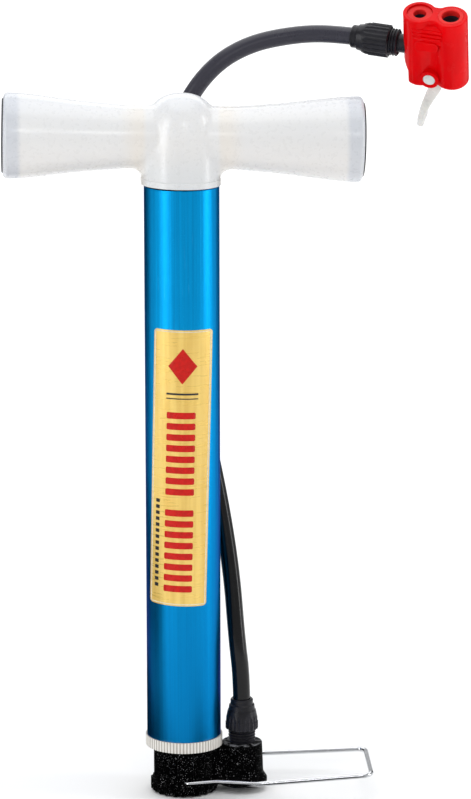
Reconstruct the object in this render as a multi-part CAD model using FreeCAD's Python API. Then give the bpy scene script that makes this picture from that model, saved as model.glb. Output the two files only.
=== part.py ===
import FreeCAD, Part
import math
import os

# Slim hand air pump: blue barrel, T handle, moulded base with a side outlet and
# a folding wire foot loop, short rubber hose and a red twin-hole valve head.
# Millimetres. Origin on the barrel axis at the underside of the base, +Z up the
# barrel, +X from the barrel axis towards the outlet boss and the foot loop.

V = FreeCAD.Vector
X, Y, Z = V(1, 0, 0), V(0, 1, 0), V(0, 0, 1)
os.makedirs("parts", exist_ok=True)

# ---------------------------------------------------------------- dimensions
barrel_ro = 17.5          # barrel tube, outside radius
barrel_ri = 16.3          # barrel tube, bore radius
barrel_z0 = 24.0
barrel_z1 = 290.8

base_r = 14.4             # base column under the collar
base_top = 22.5           # underside of the collar ring
foot_r = 16.0             # scalloped foot flange
foot_h = 5.6
plug_r = 16.25            # plug of the base inside the barrel
plug_top = 36.0
pad_y = 16.0              # outer face of the two pivot pads
pad_half = 3.8
pivot = (0.2, 7.5)        # x, z of the foot loop's pivot line

boss_x = 27.5             # outlet boss axis
boss_r_top = 9.6
boss_r_bot = 10.4
boss_z0 = 3.0
boss_z1 = 23.0
thread_r = 6.4            # outlet union and head union, thread crest
thread_bore = 6.45
air_r = 1.8               # air passages

wire_r = 1.15             # foot loop wire
pivot_hole_r = 1.22

hose_r = 4.1
nut_r = 7.75              # grip of both compression nuts
rod_r = 5.0
rod_end_r = 3.0
rod_bore = 5.05
rod_end_bore = 3.05
stroke = 210.0

grip_z = 313.0            # axis height of the handle's arms
grip_half = 83.4          # half length of the white grip
grip_tilt = 1.1           # degrees: the grip sits slightly out of square on its rod
plug_face = 84.1          # outer face of the black end plugs
left_trim = 1.6           # the left arm is seen this much shorter than the right
grip_bore = 17.35

# valve head: local x from the small port to the large one, local z out of the
# ports, local y to the back of the head
head_o = V(117.844, 13.265, 367.349)
head_x = V(0.94367, -0.31274, -0.10808)
head_z = V(-0.07883, -0.5297, 0.84451)
port_half = 7.4           # half the distance between the two ports
lobe_r = 7.85
inlet_z = -20.2           # height of the hose inlet, in the head's frame
pin_x, pin_z = -1.75, -33.4
cam_r, cam_off = 3.8, 0.8
presta_r = 2.95
schrader_r = 4.2

# hose route: straight runs joined by tangent arcs
hose_pts = [
    (27.5, 0.0, 36.0),
    (27.5, 0.0, 54.0),
    (25.2, 0.9, 73.2),
    (23.1, 9.6, 104.4),
    (17.4, 19.4, 141.1),
    (8.3, 26.4, 182.7),
    (-0.9, 30.6, 220.9),
    (-7.1, 32.9, 257.6),
    (-6.7, 34.3, 292.0),
    (1.0, 36.0, 320.3),
    (14.5, 38.4, 339.8),
    (32.3, 41.1, 350.6),
    (54.3, 41.7, 355.0),
]

# ------------------------------------------------------------------- helpers
nodes = {}


def cyl(r, z0, z1, x=0.0, y=0.0):
    return Part.makeCylinder(r, z1 - z0, V(x, y, z0), Z)


def cone(r0, r1, z0, z1, x=0.0, y=0.0):
    return Part.makeCone(r0, r1, z1 - z0, V(x, y, z0), Z)


def ring(ro, ri, z0, z1, x=0.0, y=0.0):
    return cyl(ro, z0, z1, x, y).cut(cyl(ri, z0 - 1, z1 + 1, x, y))


def box(x0, x1, y0, y1, z0, z1):
    return Part.makeBox(x1 - x0, y1 - y0, z1 - z0, V(x0, y0, z0))


def ycyl(r, y0, y1, x, z):
    return Part.makeCylinder(r, y1 - y0, V(x, y0, z), Y)


def xcyl(r, x0, x1, y, z):
    return Part.makeCylinder(r, x1 - x0, V(x0, y, z), X)


def turned(profile, x=0.0, y=0.0):
    """Solid of revolution about a vertical axis from (radius, z) corners."""
    pts = [V(r, 0, z) for r, z in profile]
    face = Part.Face(Part.makePolygon(pts + [pts[0]]))
    s = face.revolve(V(0, 0, 0), Z, 360)
    s.translate(V(x, y, 0))
    return s


def wavy(r_hi, r_lo, n, z0, z1, step=4, sharp=False):
    """Prism whose outline carries n ribs between two radii."""
    pts = []
    for i in range(n * step):
        a = 2 * math.pi * i / (n * step)
        k = 0.5 + 0.5 * math.cos(n * a)
        if sharp:
            k = 1.0 if (i % step) < step / 2 else 0.0
        r = r_lo + (r_hi - r_lo) * k
        pts.append(V(r * math.cos(a), r * math.sin(a), z0))
    face = Part.Face(Part.makePolygon(pts + [pts[0]]))
    return face.extrude(V(0, 0, z1 - z0))


def round_path(points, radii):
    """Wire of straight runs joined by tangent arcs of the given radii."""
    pts = [V(*p) for p in points]
    edges, at = [], pts[0]
    for i in range(1, len(pts) - 1):
        a = (pts[i - 1] - pts[i]).normalize()
        b = (pts[i + 1] - pts[i]).normalize()
        turn = math.pi - a.getAngle(b)
        cut = radii[i - 1] * math.tan(turn / 2)
        p, q = pts[i] + a * cut, pts[i] + b * cut
        bis = (a + b).normalize()
        centre = pts[i] + bis * (radii[i - 1] / math.cos(turn / 2))
        mid = centre - bis * radii[i - 1]
        if (p - at).Length > 1e-4:
            edges.append(Part.LineSegment(at, p).toShape())
        edges.append(Part.Arc(p, mid, q).toShape())
        at = q
    if (pts[-1] - at).Length > 1e-4:
        edges.append(Part.LineSegment(at, pts[-1]).toShape())
    return Part.Wire(edges)


def pipe(wire, r):
    e = wire.Edges[0]
    start = e.valueAt(e.FirstParameter)
    tang = e.tangentAt(e.FirstParameter)
    sec = Part.Wire([Part.Circle(start, tang, r).toShape()])
    return wire.makePipeShell([sec], True, True)


def coil(radius, wire, z0, z1, turns, x, y, n=12):
    """Round-wire spring laid as n short straight runs to the turn."""
    k = int(turns * n)
    pts = [
        V(radius * math.cos(2 * math.pi * turns * i / k), radius * math.sin(2 * math.pi * turns * i / k), z0 + (z1 - z0) * i / k)
        for i in range(k + 1)
    ]
    path = Part.makePolygon(pts)
    sec = Part.Wire([Part.Circle(pts[0], pts[1] - pts[0], wire).toShape()])
    s = path.makePipeShell([sec], True, False, 1)
    s.translate(V(x, y, 0))
    return s


def edges_where(shape, test):
    out = []
    for e in shape.Edges:
        c = e.CenterOfMass
        if test(e, c):
            out.append(e)
    return out


def solid(shape):
    shape = shape.removeSplitter()
    if len(shape.Solids) == 1:
        return shape.Solids[0]
    return shape


def add(name, shape):
    nodes[name] = shape


# -------------------------------------------------------------------- barrel
barrel = ring(barrel_ro, barrel_ri, barrel_z0, barrel_z1)
barrel = barrel.makeFillet(
    0.35, edges_where(barrel, lambda e, c: c.z > barrel_z1 - 0.01 and e.Curve.Radius > 17)
)
add("barrel", solid(barrel))

# foil label: a thin sheet wrapped on the barrel, a little crooked
label_t = 0.12
label_w, label_h, label_z = 26.6, 131.5, 160.2
prof = box(-label_w / 2, label_w / 2, -30, 0, -label_h / 2, label_h / 2)
prof = prof.makeFillet(1.6, edges_where(prof, lambda e, c: abs(abs(c.x) - label_w / 2) < 0.01 and abs(abs(c.z) - label_h / 2) < 0.01))
prof.rotate(V(0, 0, 0), Y, 1.4)
prof.rotate(V(0, 0, 0), Z, -6.5)
prof.translate(V(0, 0, label_z))
label = ring(barrel_ro + label_t, barrel_ro, label_z - 90, label_z + 90).common(prof)
add("barrel_label", solid(label))

# ribbed white collar ring at the foot of the barrel
collar = wavy(18.25, 17.98, 72, base_top, 27.6)
collar = collar.cut(cyl(barrel_ro + 0.05, 23.9, 28))
collar = collar.cut(cyl(base_r + 0.05, base_top - 1, 24))
add("collar_ring", solid(collar))

# ---------------------------------------------------------------------- base
base = cyl(base_r, 4.0, 24.0)
base = base.fuse(cyl(plug_r, 24.0, plug_top))
foot = wavy(foot_r, foot_r - 0.75, 23, 0.9, foot_h, step=8)
foot = foot.fuse(wavy(foot_r - 0.7, foot_r - 1.45, 23, 0.0, 0.9, step=8))
flare = turned([(base_r - 1, foot_h), (foot_r - 0.9, foot_h), (base_r, foot_h + 2.2), (base_r - 1, foot_h + 2.2)])
web = box(8.0, 22.0, -6.3, 6.3, boss_z0, 21.2)
web = web.makeFillet(0.8, edges_where(web, lambda e, c: abs(abs(c.y) - 6.3) < 0.01 and abs(c.x - 15) < 0.01))
boss = cone(boss_r_bot, boss_r_top, boss_z0, boss_z1, boss_x)
boss = boss.makeFillet(0.7, edges_where(boss, lambda e, c: c.z > boss_z1 - 0.01 and e.Length > 30))
skirt = turned(
    [(5, boss_z0), (11.6, boss_z0), (12.0, boss_z0 + 0.6), (12.0, boss_z0 + 2.2), (10.3, boss_z0 + 5.0), (5, boss_z0 + 5.0)],
    boss_x,
)
pads = box(-pad_half + 0.2, pad_half + 0.2, -pad_y, pad_y, 4.5, base_top - 0.1)
pads = pads.makeFillet(0.6, edges_where(pads, lambda e, c: abs(abs(c.y) - pad_y) < 0.01 and abs(c.z - 13.45) < 0.1))
base = base.fuse([foot, flare, web, boss, skirt, pads])
# O-ring groove, air passage down, across and up through the valve chamber
base = base.cut(ring(18, 14.7, 29.1, 30.9)).cut(ring(18.45, base_r, base_top - 0.05, 24.0))
base = base.cut(cyl(air_r, 8.2, 40))
base = base.cut(xcyl(air_r - 0.3, -0.8, boss_x + 0.6, 0, 10.3))
base = base.cut(cyl(air_r + 0.2, 8.0, 13.5, boss_x))
base = base.cut(cyl(4.6, 13.0, 19, boss_x))
base = base.cut(cyl(thread_bore, 18.5, 25, boss_x))
for side in (-1, 1):
    y0, y1 = sorted((side * 11.0, side * (pad_y + 1)))
    base = base.cut(ycyl(pivot_hole_r, y0, y1, *pivot))
add("base_body", solid(base))

add("base_oring", Part.makeTorus(15.5, 0.75, V(0, 0, 30), Z))

# ----------------------------------------------------------------- foot loop
px0, pz0 = pivot
side = [(px0, -11.3, pz0), (px0, -18.2, pz0), (14.0, -18.7, 8.6), (34.0, -23.8, 8.9), (88.0, -20.6, 11.5)]
loop_pts = side + [(x, -y, z) for x, y, z in reversed(side)]
loop = pipe(round_path(loop_pts, [2.2, 14, 14, 4.5, 4.5, 14, 14, 2.2]), wire_r)
add("foot_loop", solid(loop))

# -------------------------------------------------------------- check valve
add("valve_seat", ring(4.55, air_r + 0.4, 13.0, 14.0, boss_x))
add("check_valve_disc", cyl(3.8, 14.0, 15.2, boss_x).fuse(cyl(1.2, 15.2, 16.2, boss_x)).removeSplitter())
add("check_valve_spring", coil(2.4, 0.25, 15.5, 20.1, 4, boss_x, 0))


# ------------------------------------------------- unions and hose nuts
def union_profile(z0, z_thread, z1, neck=None):
    """Threaded stud: annular crests between z0 and z_thread, plain tail to z1."""
    pts = [(air_r, z0)]
    z, pitch = z0, 1.4
    if neck:
        pts += [(neck, z0), (neck, z0 + 9.5)]
        z = z0 + 9.5
    while z + pitch <= z_thread + 1e-6:
        pts += [(thread_r - 0.65, z), (thread_r, z + 0.45), (thread_r, z + 0.75), (thread_r - 0.65, z + 1.2)]
        z += pitch
    pts += [(thread_r - 0.65, z_thread), (5.0, z_thread), (5.0, z1), (air_r, z1)]
    return pts


def hose_nut(z0, z_grip, z_cone, z1, z_thread, ribs=22):
    """Compression nut on the z axis, thread mouth at z0 and hose mouth at z1."""
    grip = wavy(nut_r, nut_r - 0.55, ribs, z0 + 0.5, z_grip, step=6)
    body = turned(
        [(0, z0), (nut_r - 1.1, z0), (nut_r - 0.5, z0 + 0.5), (nut_r - 0.5, z_grip), (nut_r - 0.75, z_grip + 0.3),
         (6.0, z_cone - 0.5), (5.35, z_cone), (5.35, z1 - 0.5), (4.95, z1), (0, z1)]
    )
    s = body.fuse(grip)
    flats = wavy(nut_r - 0.3, nut_r - 0.75, ribs, z_grip, z_cone - 3.0, step=6)
    s = s.fuse(flats.common(cone(nut_r + 0.1, 6.15, z_grip - 0.1, z_cone - 0.6)))
    s = s.cut(cyl(thread_bore, z0 - 1, z_thread))
    s = s.cut(cone(thread_bore, 5.25, z_thread, z_thread + 0.6))
    s = s.cut(cyl(5.25, z_thread, z_thread + 5.0))
    s = s.cut(cyl(hose_r + 0.1, z0, z1 + 1))
    return solid(s)


union = turned(union_profile(18.6, 33.0, 36.0), boss_x)
union = union.cut(cyl(3.2, 18, 20.4, boss_x))
add("outlet_union", solid(union))
nut = hose_nut(29.0, 33.0, 41.6, 44.1, 33.4)
nut.translate(V(boss_x, 0, 0))
add("lower_hose_nut", nut)
add("lower_olive", turned([(4.15, 36.0), (5.2, 36.0), (5.2, 37.2), (4.7, 38.2), (4.15, 38.2)], boss_x))

# ------------------------------------------------------------- valve head
head_y = head_z.cross(head_x).normalize()
head_z = head_x.cross(head_y).normalize()
head_m = FreeCAD.Matrix(
    head_x.x, head_y.x, head_z.x, head_o.x,
    head_x.y, head_y.y, head_z.y, head_o.y,
    head_x.z, head_y.z, head_z.z, head_o.z,
    0, 0, 0, 1,
)
head_place = FreeCAD.Placement(head_m)


def in_head(s):
    s = s.copy()
    s.Placement = head_place.multiply(s.Placement)
    return s


def head_pt(x, y, z):
    return head_place.multVec(V(x, y, z))


def along_inlet(s):
    """A piece made on +Z with z=0 at the head's left wall, laid along the inlet."""
    s = s.copy()
    m = FreeCAD.Placement(V(-15.25, 0, inlet_z), FreeCAD.Rotation(Y, -90))
    s.Placement = head_place.multiply(m).multiply(s.Placement)
    return s


head_bot = -38.6
body = cyl(lobe_r, head_bot, 0, -port_half).fuse(cyl(lobe_r, head_bot, 0, port_half))
body = body.fuse(box(-port_half, port_half, -5.3, 5.3, head_bot, 0)).removeSplitter()
# soften the two valleys between the lobes
body = body.makeFillet(2.4, edges_where(body, lambda e, c: e.Length > 30 and abs(c.x) < 6 and abs(abs(c.y) - 5.3) < 0.1))
# relief of the lower left side, below the hose inlet
relief = Part.Face(
    Part.makePolygon([V(-17, -12, -25.3), V(-15.25, -12, -25.3), V(-12.3, -12, -30.4), V(-12.3, -12, -45), V(-17, -12, -45), V(-17, -12, -25.3)])
).extrude(V(0, 24, 0))
body = body.cut(relief)
body = body.makeFillet(1.6, edges_where(body, lambda e, c: c.x < -12.2 and c.x > -12.4 and abs(c.z - (head_bot - 30.4) / 2) < 0.3 and e.Length > 6 and abs(c.y) > 3))
body = body.fuse(ycyl(4.7, -7.95, 7.95, pin_x, pin_z)).removeSplitter()
bot = edges_where(body, lambda e, c: c.z < head_bot + 0.01)
body = body.makeFillet(1.8, bot)
top = edges_where(body, lambda e, c: c.z > -0.01)
body = body.makeFillet(0.6, top)
# finger ribs in the front valley
panel = box(-6.5, 6.1, -7.3, -4.5, -12.4, -2.6)
panel = panel.makeFillet(1.8, edges_where(panel, lambda e, c: c.y < -7.29 and c.z > -2.7))
body = body.fuse(panel)
for k, (zc, x0, x1) in enumerate([(-4.6, -9.3, 4.7), (-6.8, -9.2, 4.7), (-9.0, -9.0, 4.5)]):
    bar = box(x0, x1, -8.15, -4.5, zc - 0.6, zc + 0.6)
    bar = bar.makeFillet(0.45, edges_where(bar, lambda e, c: c.y < -8.14))
    body = body.fuse(bar)
pad = box(-8.3, 3.0, -8.1, -4.5, -16.6, -11.1)
pad = pad.makeFillet(2.4, edges_where(pad, lambda e, c: abs(c.y + 6.3) < 0.1))
pad = pad.makeFillet(0.5, edges_where(pad, lambda e, c: c.y < -8.09))
body = body.fuse(pad).removeSplitter()
# port bores, air passages, inlet, plunger bore, lever slot, pin hole
body = body.cut(cyl(6.0, -12.0, 1, -port_half)).cut(cyl(6.0, -14.0, 1, port_half))
body = body.cut(cyl(air_r, inlet_z, -11, -port_half)).cut(cyl(air_r, inlet_z, -13, port_half))
body = body.cut(xcyl(air_r - 0.3, -17, port_half + 0.6, 0, inlet_z + 0.4))
body = body.cut(xcyl(4.45, -17, -11.0, 0, inlet_z))
body = body.cut(cyl(2.25, -29.5, -22.6, pin_x))
body = body.cut(box(-17, 4.0, -4.6, 4.6, -42, -28.6))
body = body.cut(ycyl(1.65, -12, 12, pin_x, pin_z))
body = body.cut(ycyl(2.95, -12, -6.7, pin_x, pin_z)).cut(ycyl(2.5, 6.9, 12, pin_x, pin_z))
add("head_body", in_head(solid(body)))

cap = ring(5.95, presta_r, -3.6, -0.9)
cap = cap.makeFillet(0.3, edges_where(cap, lambda e, c: c.z > -0.91))
cap.translate(V(-port_half, 0, 0))
add("presta_cap", in_head(solid(cap)))
cap = ring(5.95, schrader_r, -3.0, 0.15)
cap = cap.makeFillet(0.3, edges_where(cap, lambda e, c: c.z > 0.14))
cap.translate(V(port_half, 0, 0))
add("schrader_cap", in_head(solid(cap)))
add("presta_seal", in_head(ring(5.9, presta_r, -11.8, -3.7, -port_half)))
add("schrader_seal", in_head(ring(5.9, schrader_r, -11.7, -3.1, port_half)))
dep = ring(5.9, 4.6, -13.9, -12.0, port_half)
dep = dep.fuse(box(port_half - 5.2, port_half + 5.2, -0.7, 0.7, -13.9, -12.4))
dep = dep.fuse(box(port_half - 0.7, port_half + 0.7, -5.2, 5.2, -13.9, -12.4))
dep = dep.fuse(cyl(1.1, -13.9, -12.1, port_half))
add("valve_depressor", in_head(solid(dep)))

# lever: an eccentric cam on the pin and a curved tapering arm
cam = ycyl(cam_r, -4.2, 4.2, pin_x, pin_z + cam_off)
line = [(-0.1, -34.4, 6.2), (0.55, -37.4, 6.4), (0.0, -41.0, 5.9), (-1.7, -45.2, 5.2), (-3.5, -49.25, 4.6),
        (-5.45, -54.5, 3.9), (-6.95, -59.75, 3.4), (-7.75, -65.2, 3.0)]
right, left = [], []
for i, (x, z, wd) in enumerate(line):
    a = line[max(i - 1, 0)]
    b = line[min(i + 1, len(line) - 1)]
    dx, dz = b[0] - a[0], b[1] - a[1]
    n = math.hypot(dx, dz)
    nx, nz = -dz / n, dx / n
    right.append(V(x + nx * wd / 2, -4.2, z + nz * wd / 2))
    left.append(V(x - nx * wd / 2, -4.2, z - nz * wd / 2))
s1 = Part.BSplineCurve()
s1.interpolate(right)
s2 = Part.BSplineCurve()
s2.interpolate(left)
tip_mid = (right[-1] + left[-1]) * 0.5 + V(-0.1, 0, -0.9)
outline = Part.Wire([
    s1.toShape(),
    Part.Arc(right[-1], tip_mid, left[-1]).toShape(),
    Part.BSplineCurve.toShape(s2),
    Part.LineSegment(left[0], right[0]).toShape(),
])
arm = Part.Face(outline).extrude(V(0, 8.4, 0))
lever = cam.fuse(arm)
lever = lever.cut(ycyl(1.66, -6, 6, pin_x, pin_z))
add("head_lever", in_head(solid(lever)))
pin = ycyl(1.6, -7.6, 7.7, pin_x, pin_z).fuse(ycyl(2.9, -8.05, -6.75, pin_x, pin_z)).fuse(ycyl(2.45, 6.95, 7.8, pin_x, pin_z))
pin = pin.makeFillet(0.4, edges_where(pin, lambda e, c: c.y < -8.04))
add("lever_pin", in_head(solid(pin)))
add("head_plunger", in_head(cyl(2.2, -28.6, -23.5, pin_x)))

hu = turned(union_profile(-4.2, 17.25, 17.25))
hu = turned(
    [(air_r, -4.2), (4.4, -4.2), (4.4, 2.6)]
    + [p for k in range(9) for p in ((thread_r - 0.65, 2.6 + 1.4 * k), (thread_r, 3.05 + 1.4 * k), (thread_r, 3.35 + 1.4 * k), (thread_r - 0.65, 3.8 + 1.4 * k))]
    + [(5.0, 15.2), (5.0, 17.25), (air_r, 17.25)]
)
add("head_union", along_inlet(solid(hu)))
add("upper_hose_nut", along_inlet(hose_nut(6.7, 16.2, 22.6, 25.3, 15.3)))
add("upper_olive", along_inlet(turned([(4.15, 17.25), (5.2, 17.25), (5.2, 18.4), (4.7, 19.4), (4.15, 19.4)])))

# ---------------------------------------------------------------------- hose
hose_pts = hose_pts + [tuple(head_pt(-49.5, 0, inlet_z)), tuple(head_pt(-32.5, 0, inlet_z))]
P = [V(*p) for p in hose_pts]
radii = []
for i in range(1, len(P) - 1):
    a, b = P[i] - P[i - 1], P[i + 1] - P[i]
    radii.append(0.45 * min(a.Length, b.Length) / math.tan(a.getAngle(b) / 2))
hose_wire = round_path(hose_pts, radii)
hose = pipe(hose_wire, hose_r)
add("hose", solid(hose))
print("hose runs", [round((P[i + 1] - P[i]).Length, 1) for i in range(len(P) - 1)])
print("hose radii", [round(r, 1) for r in radii])
print("hose length %.1f volume %.1f section*length %.1f" % (hose_wire.Length, hose.Volume, math.pi * hose_r ** 2 * hose_wire.Length))
print("hose last points", [tuple(round(c, 3) for c in p) for p in P[-2:]])

# ------------------------------------------------------------- piston and rod
pb = turned([(rod_end_bore, 48.0), (15.6, 48.0), (15.9, 48.4), (15.9, 51.0), (11.0, 52.5), (11.0, 55.5), (15.9, 57.0), (15.9, 59.6), (15.5, 60.0), (rod_end_bore, 60.0)])
add("piston_body", pb)
add("piston_cup", turned([(rod_end_bore, 46.0), (13.2, 46.0), (14.7, 44.6), (15.3, 41.0), (16.25, 41.0), (16.25, 46.6), (15.4, 48.0), (rod_end_bore, 48.0)]))
add("piston_washer", ring(12.4, rod_end_bore, 44.3, 46.0))
hexa = Part.Face(Part.makePolygon([V(5.77 * math.cos(math.radians(60 * i)), 5.77 * math.sin(math.radians(60 * i)), 39.8) for i in range(7)])).extrude(V(0, 0, 4.2))
hexa = hexa.common(cone(5.0, 9.2, 39.8, 44.0))
add("piston_nut", solid(hexa.cut(cyl(rod_end_r + 0.03, 39, 45))))
rod = cyl(rod_end_r, 39.0, 60.1).fuse(cyl(rod_r, 60.1, 322.0))
rod = rod.cut(cyl(3.8, 72.0, 323.0))
rod = rod.cut(ycyl(1.5, -10, 10, 0, 312.0))
rod = rod.makeFillet(0.5, edges_where(rod, lambda e, c: c.z < 39.01))
add("piston_rod", solid(rod))
add("rod_top_pin", ycyl(1.47, -11.4, 11.4, 0, 312.0))

# ------------------------------------------------------ guide at barrel mouth
bush = ring(barrel_ri - 0.03, rod_bore, 279.0, barrel_z1)
bush = bush.cut(cyl(9.0, 286.0, 292))
for a in (40, 220):
    bush = bush.cut(cyl(1.0, 278, 292, 12.6 * math.cos(math.radians(a)), 12.6 * math.sin(math.radians(a))))
add("top_bush", solid(bush))
add("rod_wiper", ring(8.95, rod_r + 0.06, 286.0, 289.0))
add("wiper_retainer", ring(8.97, 5.5, 289.0, 290.0))
add("top_buffer", ring(9.0, 5.4, 275.0, 279.0))

# -------------------------------------------------------------------- handle
half = [(0, 14.62), (12, 14.5), (22, 14.5), (27, 14.62), (31, 14.95), (38, 15.55), (45.5, 16.2), (53, 17.05), (60, 17.9), (67.5, 18.8), (75, 19.5), (81.2, 19.75)]


def reach(sx, x):
    """Distance out along an arm; the left arm loses its trim between 53 and 71 mm."""
    return x if sx > 0 else x - left_trim * max(0.0, min(1.0, (x - 53) / 18.0))


prof_pts = [V(-reach(-1, x), 0, r) for x, r in reversed(half[1:])] + [V(x, 0, r) for x, r in half]
top = Part.BSplineCurve()
top.interpolate(prof_pts)
e = grip_half


def end_arc(sx):
    a, b, c = (sx * reach(sx, x) for x in (81.2, 82.8, e))
    return Part.Arc(V(a, 0, 19.75), V(b, 0, 19.15), V(c, 0, 17.9)).toShape()


wire = Part.Wire(
    Part.__sortEdges__([
        top.toShape(),
        end_arc(1),
        end_arc(-1),
        Part.LineSegment(V(e, 0, 17.9), V(e, 0, 0)).toShape(),
        Part.LineSegment(V(-reach(-1, e), 0, 17.9), V(-reach(-1, e), 0, 0)).toShape(),
        Part.LineSegment(V(-reach(-1, e), 0, 0), V(e, 0, 0)).toShape(),
    ])
)
arms = Part.Face(wire).revolve(V(0, 0, 0), X, 360)
arms.translate(V(0, 0, grip_z))

dome = Part.BSplineCurve()
dome_pts = [V(0, 0, 333.5), V(4.2, 0, 333.15), V(9.2, 0, 331.4), V(13.7, 0, 327.5), V(16.7, 0, 321.2), V(18.0, 0, 314.0), V(18.25, 0, 307.0)]
dome.interpolate(dome_pts, InitialTangent=V(1, 0, 0), FinalTangent=V(0, 0, -1))
hub_wire = Part.Wire(
    Part.__sortEdges__([
        dome.toShape(),
        Part.LineSegment(V(18.25, 0, 307.0), V(18.25, 0, 294.4)).toShape(),
        Part.LineSegment(V(18.25, 0, 294.4), V(18.6, 0, 294.1)).toShape(),
        Part.LineSegment(V(18.6, 0, 294.1), V(18.6, 0, 291.45)).toShape(),
        Part.LineSegment(V(18.6, 0, 291.45), V(0, 0, 291.45)).toShape(),
        Part.LineSegment(V(0, 0, 291.45), V(0, 0, 333.5)).toShape(),
    ])
)
hub = Part.Face(hub_wire).revolve(V(0, 0, 0), Z, 360)
grip = arms.fuse(hub)
seam = edges_where(grip, lambda e_, c: False)
for ed in grip.Edges:
    b = ed.BoundBox
    # the two closed curves where the arms run into the hub
    if 10 < abs(ed.CenterOfMass.x) < 19 and b.ZMin > 296 and b.ZMax < 329 and b.YLength > 4:
        seam.append(ed)
print("grip seam edges", len(seam))
grip = grip.makeFillet(5.0, seam)
for sx in (-1, 1):
    inner = [(16.8, 0), (16.8, 12.3), (27, 12.55), (38, 13.5), (53, 15.0), (67.5, 16.7), (74.6, 17.0), (75.8, grip_bore), (e + 1, grip_bore), (e + 1, 0)]
    pts = [V(sx * reach(sx, x), 0, r) for x, r in inner]
    cav = Part.Face(Part.makePolygon(pts + [pts[0]])).revolve(V(0, 0, 0), X, 360)
    cav.translate(V(0, 0, grip_z))
    grip = grip.cut(cav)
grip = grip.cut(cyl(16.4, 290, 297.5)).cut(cone(16.4, 8.0, 297.5, 301.0))
centre = V(0, 0, grip_z)
grip.rotate(centre, Y, grip_tilt)
grip = grip.cut(cyl(rod_r + 0.03, 290, 322.05)).cut(ycyl(1.5, -11.5, 11.5, 0, 312.0))
add("handle_grip", solid(grip))
for sx, name in ((-1, "end_plug_left"), (1, "end_plug_right")):
    x0, x1 = 76.0, plug_face
    prof = [(x0, 17.0), (x0 + 0.4, 17.3), (x1 - 0.5, 17.3), (x1, 16.8), (x1, 14.2), (x1 - 0.5, 13.8), (x1 - 0.5, 0), (x1 - 2.0, 0), (x1 - 2.0, 15.5), (x0, 15.5)]
    pts = [V(sx * reach(sx, x), 0, r) for x, r in prof]
    cap = Part.Face(Part.makePolygon(pts + [pts[0]])).revolve(V(0, 0, 0), X, 360)
    cap.translate(V(0, 0, grip_z))
    cap.rotate(centre, Y, grip_tilt)
    add(name, solid(cap))

# -------------------------------------------------------------------- export
for name, shape in nodes.items():
    if shape.ShapeType not in ("Solid", "Compound") and len(shape.Solids) == 1:
        shape = shape.Solids[0]
    assert shape.isValid(), name
    assert len(shape.Solids) == 1, (name, len(shape.Solids))
    if shape.Solids[0].Volume < 0:
        shape = shape.Solids[0].reversed()
    shape.exportStep("parts/%s.step" % name)
print(len(nodes), "nodes")
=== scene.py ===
import math

import bmesh
import bpy
from mathutils import Matrix, Vector


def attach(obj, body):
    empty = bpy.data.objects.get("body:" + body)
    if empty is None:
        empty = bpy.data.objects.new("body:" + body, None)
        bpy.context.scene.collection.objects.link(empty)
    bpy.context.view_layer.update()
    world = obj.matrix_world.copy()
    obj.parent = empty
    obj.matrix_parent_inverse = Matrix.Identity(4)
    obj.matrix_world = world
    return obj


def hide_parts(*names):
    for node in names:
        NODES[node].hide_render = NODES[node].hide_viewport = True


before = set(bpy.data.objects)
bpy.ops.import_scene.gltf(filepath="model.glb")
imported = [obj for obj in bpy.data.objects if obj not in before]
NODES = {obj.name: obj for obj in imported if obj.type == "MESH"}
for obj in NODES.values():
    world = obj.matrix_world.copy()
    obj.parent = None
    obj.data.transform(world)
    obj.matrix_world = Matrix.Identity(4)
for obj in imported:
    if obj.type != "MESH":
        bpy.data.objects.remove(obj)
scene = bpy.context.scene


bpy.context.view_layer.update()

# ------------------------------------------------------------------ camera
cam_data = bpy.data.cameras.new("camera")
cam = bpy.data.objects.new("camera", cam_data)
scene.collection.objects.link(cam)
cam_data.sensor_fit = "VERTICAL"
cam_data.sensor_height = 36.0
cam_data.lens = 173.8
cam_data.clip_start = 0.05
cam_data.clip_end = 60.0
cam_data.dof.use_dof = False
look = Vector((0.04260, 0.97563, -0.21525)).normalized()
right = look.cross(Vector((0, 0, 1))).normalized()
up = right.cross(look)
pan = math.radians(0.006)
look = (look * math.cos(pan) - right * math.sin(pan)).normalized()
right = look.cross(Vector((0, 0, 1))).normalized()
up = right.cross(look)
roll = math.radians(-0.09)
r2 = right * math.cos(roll) + up * math.sin(roll)
u2 = up * math.cos(roll) - right * math.sin(roll)
cam.matrix_world = Matrix(
    (
        (r2.x, u2.x, -look.x, -0.0518),
        (r2.y, u2.y, -look.y, -1.7572),
        (r2.z, u2.z, -look.z, 0.5770),
        (0, 0, 0, 1),
    )
)
scene.camera = cam
scene.view_settings.view_transform = "Standard"

# -------------------------------------------------------------------- hose
HOSE_MM = [
    (27.5, 0.0, 36.0),
    (27.5, 0.0, 54.0),
    (25.2, 0.9, 73.2),
    (23.1, 9.6, 104.4),
    (17.4, 19.4, 141.1),
    (8.3, 26.4, 182.7),
    (-0.9, 30.6, 220.9),
    (-7.1, 32.9, 257.6),
    (-6.7, 34.3, 292.0),
    (1.0, 36.0, 320.3),
    (14.5, 38.4, 339.8),
    (32.3, 41.1, 350.6),
    (54.3, 41.7, 355.0),
    (72.725, 39.446, 355.64),
    (88.767, 34.129, 353.802),
]
curve = bpy.data.curves.new("hose_line", "CURVE")
curve.dimensions = "3D"
sp = curve.splines.new("NURBS")
sp.points.add(len(HOSE_MM) - 1)
for p, c in zip(sp.points, HOSE_MM):
    p.co = (c[0] / 1000, c[1] / 1000, c[2] / 1000, 1.0)
    p.radius = 0.0041
sp.order_u = 3
sp.use_endpoint_u = True
sp.resolution_u = 24
curve.bevel_depth = 1.0
curve.bevel_resolution = 10
curve.use_fill_caps = True
hose = bpy.data.objects.new("hose_tube", curve)
scene.collection.objects.link(hose)
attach(hose, "pump_body")
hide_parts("hose")


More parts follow.
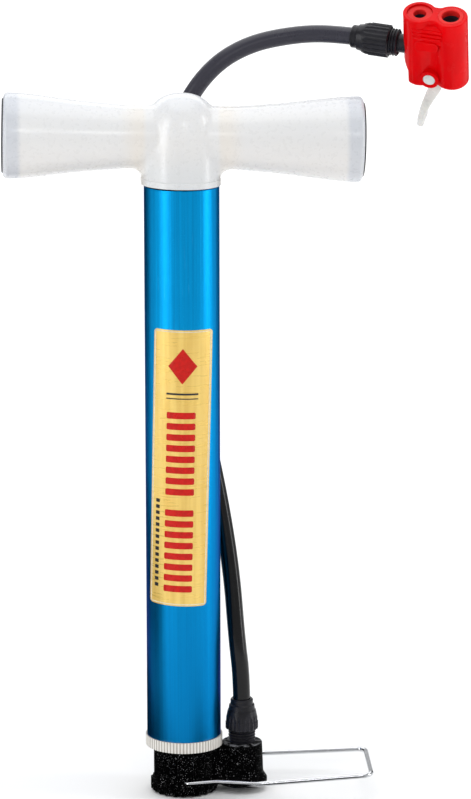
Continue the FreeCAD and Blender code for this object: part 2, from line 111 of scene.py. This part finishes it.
# --------------------------------------------------------------- materials
class Mat:
    """A small builder for node materials in the row frame's own coordinates."""

    def __init__(self, name):
        self.m = bpy.data.materials.new(name)
        self.m.use_nodes = True
        self.t = self.m.node_tree
        self.n = self.t.nodes
        self.bsdf = self.n["Principled BSDF"]
        self.tc = self.n.new("ShaderNodeTexCoord")

    def link(self, a, b):
        self.t.links.new(a, b)

    def coords(self, scale=(1, 1, 1), rot=(0, 0, 0), loc=(0, 0, 0)):
        mp = self.n.new("ShaderNodeMapping")
        mp.inputs["Scale"].default_value = scale
        mp.inputs["Rotation"].default_value = rot
        mp.inputs["Location"].default_value = loc
        self.link(self.tc.outputs["Object"], mp.inputs["Vector"])
        return mp.outputs["Vector"]

    def noise(self, scale, detail=4.0, rough=0.55, vec=None, stretch=(1, 1, 1)):
        nz = self.n.new("ShaderNodeTexNoise")
        nz.inputs["Scale"].default_value = scale
        nz.inputs["Detail"].default_value = detail
        nz.inputs["Roughness"].default_value = rough
        self.link(vec if vec is not None else self.coords(stretch), nz.inputs["Vector"])
        return nz.outputs["Fac"]

    def voronoi(self, scale, feature="F1", vec=None):
        vn = self.n.new("ShaderNodeTexVoronoi")
        vn.feature = feature
        vn.inputs["Scale"].default_value = scale
        self.link(vec if vec is not None else self.coords(), vn.inputs["Vector"])
        return vn.outputs["Distance"]

    def ramp(self, fac, stops):
        r = self.n.new("ShaderNodeValToRGB")
        el = r.color_ramp.elements
        while len(el) < len(stops):
            el.new(0.5)
        for e, (p, c) in zip(el, stops):
            e.position = p
            e.color = c if len(c) == 4 else (*c, 1.0)
        self.link(fac, r.inputs["Fac"])
        return r.outputs["Color"]

    def remap(self, fac, a, b, c, d):
        r = self.n.new("ShaderNodeMapRange")
        r.clamp = True
        for k, v in zip(("From Min", "From Max", "To Min", "To Max"), (a, b, c, d)):
            r.inputs[k].default_value = v
        self.link(fac, r.inputs["Value"])
        return r.outputs["Result"]

    def smooth(self, fac, a, b, c=0.0, d=1.0):
        out = self.remap(fac, a, b, c, d)
        out.node.interpolation_type = "SMOOTHSTEP"
        return out

    def math(self, op, a, b=None):
        m = self.n.new("ShaderNodeMath")
        m.operation = op
        for i, v in enumerate((a, b)):
            if v is None:
                continue
            if isinstance(v, (int, float)):
                m.inputs[i].default_value = v
            else:
                self.link(v, m.inputs[i])
        return m.outputs[0]

    def mix(self, fac, a, b):
        m = self.n.new("ShaderNodeMix")
        m.data_type = "RGBA"
        if isinstance(fac, (int, float)):
            m.inputs["Factor"].default_value = fac
        else:
            self.link(fac, m.inputs["Factor"])
        for key, v in (("A", a), ("B", b)):
            sock = [s for s in m.inputs if s.name == key and s.type == "RGBA"][0]
            if isinstance(v, tuple):
                sock.default_value = (*v, 1.0) if len(v) == 3 else v
            else:
                self.link(v, sock)
        return [s for s in m.outputs if s.type == "RGBA"][0]

    def axis(self, which):
        s = self.n.new("ShaderNodeSeparateXYZ")
        self.link(self.tc.outputs["Object"], s.inputs[0])
        return s.outputs[which]

    def bump(self, height, strength, distance=0.001, after=None):
        b = self.n.new("ShaderNodeBump")
        b.inputs["Strength"].default_value = strength
        b.inputs["Distance"].default_value = distance
        self.link(height, b.inputs["Height"])
        if after is not None:
            self.link(after, b.inputs["Normal"])
        return b.outputs["Normal"]

    def set(self, **kw):
        for k, v in kw.items():
            name = k.replace("_", " ").title()
            name = {"Ior": "IOR", "Coat Ior": "Coat IOR", "Specular Ior Level": "Specular IOR Level"}.get(name, name)
            self.bsdf.inputs[name].default_value = v

    def to(self, name, sock):
        self.link(sock, self.bsdf.inputs[name])


def scuffs(m, amount=0.5):
    """Fine long scratches as a mask, brighter where a scratch runs."""
    v = m.coords((1, 1, 0.06), rot=(0.1, 0.3, 0.2))
    n1 = m.noise(900.0, 2.0, 0.5, vec=v)
    n2 = m.noise(14.0, 3.0, 0.6)
    return m.math("MULTIPLY", m.smooth(n1, 0.66, 0.74, 0, amount), m.smooth(n2, 0.48, 0.62))


def black_grain():
    """Moulded black plastic with a coarse grain, its sparkle painted in as bright flecks."""
    m = Mat("black_grain")
    fine = m.noise(1500.0, 3.0, 0.65)
    cell = m.voronoi(1150.0)
    big = m.noise(60.0, 3.0, 0.6)
    # painted glints: sparse bright flecks stand in for the sparkle of the grain, denser in some patches than in
    # others
    glint_flecks = m.math("MULTIPLY", m.smooth(m.noise(1700.0, 2.0, 0.6), 0.635, 0.69), m.smooth(m.noise(210.0, 2.0), 0.42, 0.60, 0.25, 1.0))
    # painted glints: a fine grey speckle for the sparkle of the grain
    fine_glints = m.smooth(fine, 0.62, 0.70)
    col = m.mix(m.smooth(big, 0.35, 0.7), (0.0002, 0.0002, 0.0003), (0.0009, 0.0009, 0.0010))
    col = m.mix(fine_glints, col, (0.020, 0.020, 0.021))
    col = m.mix(glint_flecks, col, (0.36, 0.36, 0.37))
    # painted highlight along the rim of the outlet boss, and dusty foot edge
    z = m.axis(2)
    x = m.axis(0)
    boss_rim_highlight = m.math("MULTIPLY", m.smooth(z, 0.02245, 0.0229), m.smooth(x, 0.0165, 0.018))
    boss_rim_highlight = m.math("MULTIPLY", boss_rim_highlight, m.smooth(m.noise(420.0, 2.0), 0.42, 0.62))
    foot = m.math("MULTIPLY", m.smooth(z, 0.0009, 0.0001), m.smooth(m.noise(300.0, 3.0), 0.40, 0.6))
    col = m.mix(m.math("MULTIPLY", boss_rim_highlight, 0.8), col, (0.22, 0.22, 0.23))
    col = m.mix(m.math("MULTIPLY", foot, 0.6), col, (0.16, 0.155, 0.15))
    m.to("Base Color", col)
    m.to("Roughness", m.remap(m.noise(700.0, 3.0), 0.3, 0.7, 0.30, 0.62))
    h = m.math("ADD", m.math("MULTIPLY", fine, 1.0), m.math("MULTIPLY", cell, 0.5))
    m.to("Normal", m.bump(h, 0.75, 0.0006))
    m.set(specular_ior_level=0.012)
    return m.m


def black_satin(name="black_satin", lo=0.26, hi=0.42, base=(0.0055, 0.0053, 0.0078), lift=(0.0165, 0.0160, 0.0220)):
    """Smooth black moulded plastic with handling marks on its high spots."""
    m = Mat(name)
    n = m.noise(110.0, 4.0, 0.6)
    col = m.mix(m.smooth(n, 0.35, 0.7), base, lift)
    sc = scuffs(m, 0.5)
    col = m.mix(sc, col, (0.05, 0.05, 0.055))
    m.to("Base Color", col)
    m.to("Roughness", m.math("ADD", m.remap(m.noise(240.0, 4.0), 0.3, 0.7, lo, hi), m.math("MULTIPLY", sc, 0.2)))
    m.to("Normal", m.bump(m.noise(1400.0, 2.0), 0.12, 0.0003))
    m.set(specular_ior_level=0.26)
    return m.m


def rubber(name="hose_rubber", base=(0.0016, 0.0016, 0.0019), lo=0.22, hi=0.34):
    """Extruded black rubber: faint lengthwise lines, a painted sheen on the upper bend and a few scuffs."""
    m = Mat(name)
    n = m.noise(40.0, 5.0, 0.62)
    col = m.mix(m.smooth(n, 0.40, 0.72), base, (0.0040, 0.0040, 0.0046))
    # painted sheen: the upper bend made greyer where the light catches it, darker rubber below
    painted_top_sheen = m.smooth(m.axis(2), 0.285, 0.330)
    col = m.mix(painted_top_sheen, col, (0.0340, 0.0330, 0.0460))
    dust = m.smooth(m.noise(900.0, 2.0, 0.5), 0.68, 0.76, 0.0, 0.3)
    col = m.mix(dust, col, (0.05, 0.05, 0.05))
    m.to("Base Color", col)
    rough = m.remap(m.noise(130.0, 4.0), 0.3, 0.7, lo, hi)
    m.to("Roughness", m.math("ADD", rough, m.math("MULTIPLY", painted_top_sheen, 0.10)))
    m.to("Normal", m.bump(m.noise(1100.0, 3.0), 0.10, 0.0003))
    m.set(specular_ior_level=0.30)
    return m.m


def blue_metal():
    """Blue anodised tube: lengthwise draw lines, fine flake and light scratches."""
    m = Mat("blue_anodised")
    lines = m.noise(1.0, 4.0, 0.6, vec=m.coords((950, 950, 7)))
    broad = m.noise(1.0, 3.0, 0.55, vec=m.coords((150, 150, 3)))
    flake = m.noise(2100.0, 2.0, 0.6)
    cloud = m.noise(20.0, 3.0, 0.5)
    col = m.mix(m.smooth(lines, 0.30, 0.72), (0.0008, 0.245, 0.560), (0.0016, 0.345, 0.740))
    col = m.mix(m.math("MULTIPLY", m.smooth(broad, 0.35, 0.7), 0.35), col, (0.0010, 0.285, 0.640))
    col = m.mix(m.smooth(flake, 0.60, 0.72, 0.0, 0.30), col, (0.008, 0.46, 0.86))
    col = m.mix(m.smooth(cloud, 0.45, 0.75, 0.0, 0.18), col, (0.0008, 0.19, 0.47))
    # painted shade: the colour darkens towards the foot of the tube
    z = m.axis(2)
    col = m.mix(m.smooth(z, 0.215, 0.030, 0.0, 0.62), col, (0.0006, 0.150, 0.420))
    # rubbed dull at the foot of the tube
    worn = m.math("MULTIPLY", m.smooth(z, 0.0290, 0.0262), m.smooth(m.noise(260.0, 3.0), 0.44, 0.6, 0, 0.6))
    col = m.mix(worn, col, (0.20, 0.30, 0.38))
    sc = scuffs(m, 0.35)
    col = m.mix(sc, col, (0.05, 0.42, 0.80))
    m.to("Base Color", col)
    m.to("Roughness", m.math("ADD", m.remap(lines, 0.3, 0.7, 0.30, 0.41), m.math("MULTIPLY", sc, 0.12)))
    hgt = m.math("ADD", m.math("MULTIPLY", lines, 0.7), m.math("MULTIPLY", flake, 0.4))
    m.to("Normal", m.bump(hgt, 0.16, 0.0004))
    m.set(metallic=1.0, coat_weight=0.05, coat_roughness=0.3)
    m.bsdf.inputs["Specular Tint"].default_value = (0.0, 0.05, 0.18, 1.0)
    return m.m


def foil():
    """Gold foil sticker: faint cross grain, slight waviness, paler border."""
    m = Mat("gold_foil")
    grain = m.noise(1.0, 3.0, 0.5, vec=m.coords((60, 60, 700)))
    wave = m.noise(1.0, 3.0, 0.5, vec=m.coords((230, 230, 9)))
    col = m.mix(m.smooth(wave, 0.32, 0.68), (0.72, 0.465, 0.105), (0.88, 0.620, 0.170))
    col = m.mix(m.smooth(grain, 0.35, 0.70, 0.0, 0.10), col, (0.90, 0.70, 0.34))
    m.to("Base Color", col)
    m.to("Roughness", m.remap(grain, 0.3, 0.7, 0.24, 0.37))
    m.to("Normal", m.bump(m.math("ADD", m.math("MULTIPLY", grain, 0.12), wave), 0.12, 0.0005))
    m.set(metallic=0.26, coat_weight=0.20, coat_roughness=0.18)
    m.bsdf.inputs["Specular Tint"].default_value = (0.75, 0.62, 0.42, 1.0)
    return m.m


def ink(name, colour, rough=0.32):
    m = Mat(name)
    n = m.noise(500.0, 3.0)
    dark = tuple(c * 0.8 for c in colour)
    m.to("Base Color", m.mix(m.smooth(n, 0.3, 0.7), dark, colour))
    m.to("Roughness", m.remap(m.noise(900.0, 2.0), 0.3, 0.7, rough - 0.06, rough + 0.08))
    m.to("Normal", m.bump(n, 0.08, 0.0002))
    m.set(coat_weight=0.05, coat_roughness=0.15, specular_ior_level=0.2)
    return m.m


def milky():
    """Translucent milky polythene, the dark end plugs just showing through."""
    m = Mat("milky_plastic")
    x = m.axis(0)
    ax = m.math("ABSOLUTE", x)
    z = m.axis(2)
    cloud = m.noise(26.0, 2.0, 0.45)
    col = m.mix(m.smooth(cloud, 0.25, 0.80), (0.755, 0.755, 0.755), (0.770, 0.767, 0.760))
    # painted shade: a cooler grey along the top, a little warmer and darker underneath
    col = m.mix(m.smooth(z, 0.322, 0.333, 0.0, 0.75), col, (0.690, 0.705, 0.735))
    col = m.mix(m.smooth(z, 0.322, 0.300, 0.0, 0.65), col, (0.765, 0.730, 0.695))
    # the left arm is 1.6 mm shorter, so its end band sits further in
    past = m.math("ADD", ax, m.math("MULTIPLY", m.smooth(x, 0.0, -0.001), 0.0016))
    band = m.math("MULTIPLY", m.smooth(past, 0.0745, 0.0775), 0.62)
    col = m.mix(band, col, (0.500, 0.530, 0.590))
    hollow = m.math("MULTIPLY", m.smooth(ax, 0.0155, 0.0185), m.smooth(ax, 0.030, 0.020))
    col = m.mix(m.math("MULTIPLY", hollow, 0.25), col, (0.80, 0.68, 0.52))
    skirt = m.math("MULTIPLY", m.smooth(z, 0.316, 0.296), 0.50)
    skirt = m.math("MULTIPLY", skirt, m.smooth(ax, 0.0215, 0.0150))
    col = m.mix(skirt, col, (0.62, 0.66, 0.69))
    grime = m.math("MULTIPLY", m.smooth(m.noise(650.0, 3.0, 0.6), 0.60, 0.74), 0.03)
    col = m.mix(grime, col, (0.68, 0.66, 0.62))
    m.to("Base Color", col)
    m.to("Roughness", m.remap(m.noise(520.0, 3.0), 0.3, 0.7, 0.25, 0.33))
    m.to("Normal", m.bump(m.noise(900.0, 2.0), 0.05, 0.0002))
    m.set(subsurface_weight=0.30, subsurface_scale=0.0035, coat_weight=0.22, coat_roughness=0.12)
    m.bsdf.inputs["Subsurface Radius"].default_value = (1.0, 0.95, 0.85)
    return m.m


def white_lever():
    """Natural translucent nylon of the cam lever and its pin."""
    m = Mat("white_lever")
    col = m.mix(m.smooth(m.noise(120.0, 4.0), 0.3, 0.7), (0.70, 0.685, 0.65), (0.83, 0.82, 0.79))
    m.to("Base Color", col)
    m.to("Roughness", m.remap(m.noise(300.0, 3.0), 0.3, 0.7, 0.24, 0.40))
    m.to("Normal", m.bump(m.noise(700.0, 3.0), 0.12, 0.0003))
    m.set(subsurface_weight=0.5, subsurface_scale=0.003, coat_weight=0.15, coat_roughness=0.15)
    m.bsdf.inputs["Subsurface Radius"].default_value = (1.0, 0.9, 0.8)
    return m.m


def red_gloss(name="red_gloss", hi=(0.78, 0.0010, 0.0030), lo=(0.66, 0.0006, 0.0022)):
    """Glossy injection-moulded red plastic with flow marks and hairline scratches."""
    m = Mat(name)
    flow = m.noise(1.0, 4.0, 0.55, vec=m.coords((70, 70, 30)))
    col = m.mix(m.smooth(flow, 0.3, 0.72), lo, hi)
    sc = scuffs(m, 0.45)
    col = m.mix(sc, col, (0.90, 0.20, 0.18))
    m.to("Base Color", col)
    m.to("Roughness", m.math("ADD", m.remap(m.noise(180.0, 4.0), 0.3, 0.7, 0.17, 0.30), m.math("MULTIPLY", sc, 0.2)))
    bumps = m.math("ADD", m.noise(90.0, 2.0, 0.4), m.math("MULTIPLY", m.noise(1200.0, 2.0), 0.12))
    m.to("Normal", m.bump(bumps, 0.10, 0.0008))
    m.set(subsurface_weight=0.08, subsurface_scale=0.002, coat_weight=0.05, coat_roughness=0.10, specular_ior_level=0.07)
    m.bsdf.inputs["Subsurface Radius"].default_value = (1.0, 0.1, 0.05)
    return m.m


def metal(name, base, lo, hi, lines=(400, 400, 400), wear=(0.55, 0.50, 0.45), wear_amt=0.25):
    """Plated or machined metal with fine lines and dull spots."""
    m = Mat(name)
    ln = m.noise(1.0, 3.0, 0.6, vec=m.coords(lines))
    spot = m.smooth(m.noise(230.0, 4.0, 0.65), 0.56, 0.72)
    dark = tuple(c * 0.82 for c in base)
    col = m.mix(m.smooth(ln, 0.3, 0.7), dark, base)
    col = m.mix(m.math("MULTIPLY", spot, wear_amt), col, wear)
    m.to("Base Color", col)
    m.to("Roughness", m.math("ADD", m.remap(ln, 0.3, 0.7, lo, hi), m.math("MULTIPLY", spot, 0.12)))
    m.to("Normal", m.bump(ln, 0.10, 0.0002))
    m.set(metallic=1.0)
    return m.m


def nylon():
    m = Mat("nylon")
    col = m.mix(m.smooth(m.noise(90.0, 4.0), 0.3, 0.7), (0.62, 0.58, 0.48), (0.76, 0.73, 0.64))
    m.to("Base Color", col)
    m.to("Roughness", m.remap(m.noise(300.0, 3.0), 0.3, 0.7, 0.36, 0.52))
    m.to("Normal", m.bump(m.noise(800.0, 3.0), 0.15, 0.0003))
    m.set(subsurface_weight=0.2, subsurface_scale=0.002)
    return m.m


def collar_white():
    """Off-white moulded ring, with painted shade in the grooves between its ribs."""
    m = Mat("collar_white")
    x, y = m.axis(0), m.axis(1)
    rr = m.math("SQRT", m.math("ADD", m.math("MULTIPLY", x, x), m.math("MULTIPLY", y, y)))
    # painted shade in the grooves between the ribs
    groove_shade = m.smooth(rr, 0.01822, 0.01802)
    col = m.mix(m.smooth(m.noise(110.0, 4.0), 0.3, 0.7), (0.80, 0.775, 0.72), (0.88, 0.865, 0.82))
    col = m.mix(m.math("MULTIPLY", groove_shade, 0.80), col, (0.36, 0.32, 0.28))
    dirt = m.math("MULTIPLY", m.smooth(m.noise(300.0, 4.0, 0.7), 0.56, 0.72), 0.25)
    col = m.mix(dirt, col, (0.50, 0.44, 0.38))
    m.to("Base Color", col)
    m.to("Roughness", m.remap(m.noise(420.0, 3.0), 0.3, 0.7, 0.36, 0.55))
    m.to("Normal", m.bump(m.noise(1300.0, 3.0), 0.15, 0.0003))
    return m.m


GRAIN = black_grain()
SATIN = black_satin()
PLUG = black_satin("plug_black", 0.30, 0.46, (0.006, 0.006, 0.007), (0.018, 0.018, 0.020))
HOSE = rubber("hose_rubber", (0.0008, 0.0008, 0.0010), 0.14, 0.24)
SEAL = rubber("seal_rubber", (0.008, 0.008, 0.008), 0.45, 0.6)
BLUE = blue_metal()
GOLD = foil()
MILK = milky()
LEVER = white_lever()
RED = red_gloss()
CAPRED = red_gloss("cap_red", (0.80, 0.030, 0.026), (0.68, 0.018, 0.017))
WIRE = metal("bright_wire", (0.66, 0.67, 0.69), 0.08, 0.16, (60, 900, 900), (0.62, 0.60, 0.58), 0.30)
ROD = metal("rod_steel", (0.80, 0.80, 0.81), 0.10, 0.20, (900, 900, 30), (0.60, 0.58, 0.55), 0.15)
STEEL = metal("spring_steel", (0.56, 0.56, 0.58), 0.22, 0.36)
BRASS = metal("brass", (0.78, 0.57, 0.26), 0.20, 0.34, (500, 500, 500), (0.45, 0.33, 0.18), 0.35)
NYLON = nylon()
COLLAR = collar_white()

LOOK = {
    "barrel": BLUE,
    "barrel_label": GOLD,
    "collar_ring": COLLAR,
    "base_body": GRAIN,
    "foot_loop": WIRE,
    "outlet_union": SATIN,
    "lower_hose_nut": SATIN,
    "upper_hose_nut": SATIN,
    "head_union": SATIN,
    "head_body": RED,
    "presta_cap": CAPRED,
    "schrader_cap": CAPRED,
    "lever_pin": LEVER,
    "head_lever": LEVER,
    "handle_grip": MILK,
    "end_plug_left": PLUG,
    "end_plug_right": PLUG,
    "piston_rod": ROD,
    "rod_top_pin": STEEL,
    "piston_body": NYLON,
    "piston_cup": SEAL,
    "piston_washer": STEEL,
    "piston_nut": STEEL,
    "top_bush": SATIN,
    "rod_wiper": SEAL,
    "wiper_retainer": SATIN,
    "top_buffer": SEAL,
    "base_oring": SEAL,
    "valve_seat": BRASS,
    "check_valve_disc": SEAL,
    "check_valve_spring": STEEL,
    "lower_olive": BRASS,
    "upper_olive": BRASS,
    "presta_seal": SEAL,
    "schrader_seal": SEAL,
    "valve_depressor": NYLON,
    "head_plunger": NYLON,
    "hose": HOSE,
}
for name, material in LOOK.items():
    o = NODES[name]
    o.data.materials.clear()
    o.data.materials.append(material)
hose.data.materials.append(HOSE)

# ----------------------------------------------------- printing on the label
# The label is a sheet wrapped on the tube and turned a little. Its own axes: u to
# the right across the tube, v up. Marks are thin wrapped patches just proud of it.
LABEL_W, LABEL_H, LABEL_Z = 0.0266, 0.1315, 0.1602
TURN, YAW = math.radians(1.4), math.radians(-6.5)
R_LABEL = 0.01762


def on_label(u, v, lift):
    x = u * math.cos(TURN) + v * math.sin(TURN)
    z = -u * math.sin(TURN) + v * math.cos(TURN)
    r = R_LABEL + lift
    a = math.asin(max(-0.999, min(0.999, x / r))) - math.pi / 2 + YAW
    return Vector((r * math.cos(a), r * math.sin(a), LABEL_Z + z))


def patch(bm, outline_rows, lift):
    """A grid of (u, v) rows wrapped on the label."""
    rows = [[bm.verts.new(on_label(u, v, lift)) for u, v in row] for row in outline_rows]
    for a, b in zip(rows, rows[1:]):
        for i in range(len(a) - 1):
            bm.faces.new((a[i], a[i + 1], b[i + 1], b[i]))


def bar_rows(u0, u1, v0, v1, radius=0.0004, nu=10, nv=8):
    """Rows of a bar with rounded corners."""
    rows = []
    for j in range(nv + 1):
        t = j / nv
        # denser near the two ends so the corners read round
        s = 0.5 - 0.5 * math.cos(math.pi * t)
        v = v0 + (v1 - v0) * s
        d = min(v - v0, v1 - v)
        inset = 0.0
        if d < radius:
            inset = radius - math.sqrt(max(0.0, radius * radius - (radius - d) ** 2))
        rows.append([(u0 + inset + (u1 - u0 - 2 * inset) * i / nu, v) for i in range(nu + 1)])
    return rows


def wrapped(name, bars, lift, material):
    bm = bmesh.new()
    for rows in bars:
        patch(bm, rows, lift)
    bmesh.ops.recalc_face_normals(bm, faces=bm.faces)
    me = bpy.data.meshes.new(name)
    bm.to_mesh(me)
    bm.free()
    # normals outwards
    for poly in me.polygons:
        c = poly.center
        if poly.normal.x * c.x + poly.normal.y * c.y < 0:
            me.flip_normals()
        break
    for poly in me.polygons:
        poly.use_smooth = True
    o = bpy.data.objects.new(name, me)
    scene.collection.objects.link(o)
    o.data.materials.append(material)
    sol = o.modifiers.new("body", "SOLIDIFY")
    sol.thickness = 0.00003
    sol.offset = -1.0
    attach(o, "pump_body")
    return o


RED_INK = ink("red_ink", (0.60, 0.008, 0.005))
DARK_INK = ink("dark_ink", (0.030, 0.030, 0.032), 0.36)
BORDER = ink("border_ink", (0.86, 0.76, 0.56), 0.3)

# two ladders of plain red bars
blocks = []
for top in (0.0270, -0.0195):
    v = top
    for k in range(8):
        blocks.append(bar_rows(-0.0066, 0.0068, v - 0.0031, v, 0.0006))
        v -= 0.0052
wrapped("label_blocks", blocks, 0.00005, RED_INK)
# a plain red lozenge with a dark bar beneath it, near the top
loz = []
n = 20
for j in range(n + 1):
    t = j / n
    half_w = 0.0066 * (1 - abs(2 * t - 1)) + 0.00012
    v_ = 0.0405 + 0.0165 * t
    loz.append([(0.0004 - half_w + 2 * half_w * i / 12, v_) for i in range(13)])
wrapped("label_lozenge", [loz], 0.00005, RED_INK)
rules = [
    bar_rows(-0.0070, 0.0078, 0.0352, 0.0361, 0.0003),
    bar_rows(-0.0070, 0.0078, 0.0332, 0.0337, 0.0002),
]
v = -0.0150
while v > -0.0560:
    rules.append(bar_rows(-0.0110, -0.0092, v - 0.0017, v, 0.0003, nu=4))
    v -= 0.0029
wrapped("label_rules", rules, 0.00005, DARK_INK)
# pale border line
bw, ins = 0.00045, 0.0006
hw, hh = LABEL_W / 2 - 0.0004, LABEL_H / 2 - ins
border = [
    bar_rows(-hw, hw, hh - bw, hh, 0.0001, nu=24, nv=2),
    bar_rows(-hw, hw, -hh, -hh + bw, 0.0001, nu=24, nv=2),
    bar_rows(-hw, -hw + bw, -hh + bw, hh - bw, 0.0001, nu=2, nv=40),
    bar_rows(hw - bw, hw, -hh + bw, hh - bw, 0.0001, nu=2, nv=40),
]
wrapped("label_border", border, 0.00004, BORDER)

# ------------------------------------------------------------------- stage
floor_me = bpy.data.meshes.new("floor")
bm = bmesh.new()
bmesh.ops.create_grid(bm, x_segments=2, y_segments=2, size=9.0)
bm.to_mesh(floor_me)
bm.free()
floor = bpy.data.objects.new("floor", floor_me)
floor.location.z = -0.0003
scene.collection.objects.link(floor)
fm = Mat("floor")
fm.to("Base Color", fm.mix(fm.smooth(fm.noise(3.0, 3.0), 0.3, 0.7), (0.90, 0.90, 0.90), (0.93, 0.93, 0.93)))
fm.set(roughness=0.85)
floor.data.materials.append(fm.m)

world = bpy.data.worlds.new("world")
scene.world = world
world.use_nodes = True
bg = world.node_tree.nodes["Background"]
bg.inputs["Color"].default_value = (0.97, 0.985, 1.0, 1.0)
bg.inputs["Strength"].default_value = 0.58


def area(name, loc, target, size, energy, colour=(1, 1, 1)):
    d = bpy.data.lights.new(name, "AREA")
    d.shape = "RECTANGLE"
    d.size, d.size_y = size
    d.energy = energy
    d.color = colour
    o = bpy.data.objects.new(name, d)
    scene.collection.objects.link(o)
    o.location = loc
    o.rotation_euler = (Vector(target) - Vector(loc)).to_track_quat("-Z", "Y").to_euler()
    o.visible_camera = False
    return o


area("key_left", (-1.15, -0.85, 0.55), (0, 0, 0.18), (0.45, 1.1), 6.5)
area("strip_right", (1.25, -0.20, 0.50), (0, 0, 0.17), (0.32, 1.1), 5.0)
area("window", (0.22, -1.55, 0.95), (0, 0, 0.31), (0.34, 0.22), 1.6)
area("top", (0.0, 0.15, 1.9), (0, 0, 0.1), (1.6, 1.6), 13.5)
area("back", (0.0, 3.0, 2.0), (0, 3.2, 0.0), (4.5, 3.5), 75)



def flag(name, corners):
    """A black flag beside the set: only reflections see it, so it edges the gloss."""
    me = bpy.data.meshes.new(name)
    me.from_pydata([Vector(c) for c in corners], [], [(0, 1, 2, 3)])
    o = bpy.data.objects.new(name, me)
    scene.collection.objects.link(o)
    o.data.materials.append(FLAG.m)
    o.visible_camera = False
    o.visible_diffuse = False
    o.visible_shadow = False
    o.visible_transmission = False
    return o


FLAG = Mat("flag_cloth")
FLAG.to("Base Color", FLAG.mix(FLAG.noise(40.0), (0.004, 0.004, 0.004), (0.010, 0.010, 0.010)))
FLAG.set(roughness=0.95, specular_ior_level=0.0)
flag("flag_left_low", [(-0.23, -0.12, 0.0), (-0.23, 0.40, 0.0), (-0.23, 0.40, 0.075), (-0.23, -0.12, 0.075)])
flag("flag_left_back", [(-0.56, 0.30, 0.0), (-0.40, 0.95, 0.0), (-0.40, 0.95, 0.55), (-0.56, 0.30, 0.55)])
flag("flag_right_back", [(0.53, 0.45, 0.0), (0.40, 0.95, 0.0), (0.40, 0.95, 0.55), (0.53, 0.45, 0.55)])
# a card round the foot, mirrored by the underside of the head, the grip and the low left of the tube
flag("flag_floor", [(-0.165, -0.07, 0.0001), (0.029, -0.07, 0.0001), (0.029, 0.20, 0.0001), (-0.165, 0.20, 0.0001)])

# low black cards just above the floor, so the bright wire shows a dark underside
flag("flag_wire_front", [(0.030, -0.095, 0.0002), (0.098, -0.095, 0.0002), (0.098, -0.0285, 0.0002), (0.030, -0.0285, 0.0002)])
flag("flag_wire_back", [(0.036, -0.0160, 0.0002), (0.083, -0.0160, 0.0002), (0.083, 0.0040, 0.0002), (0.036, 0.0040, 0.0002)])

bpy.context.view_layer.update()
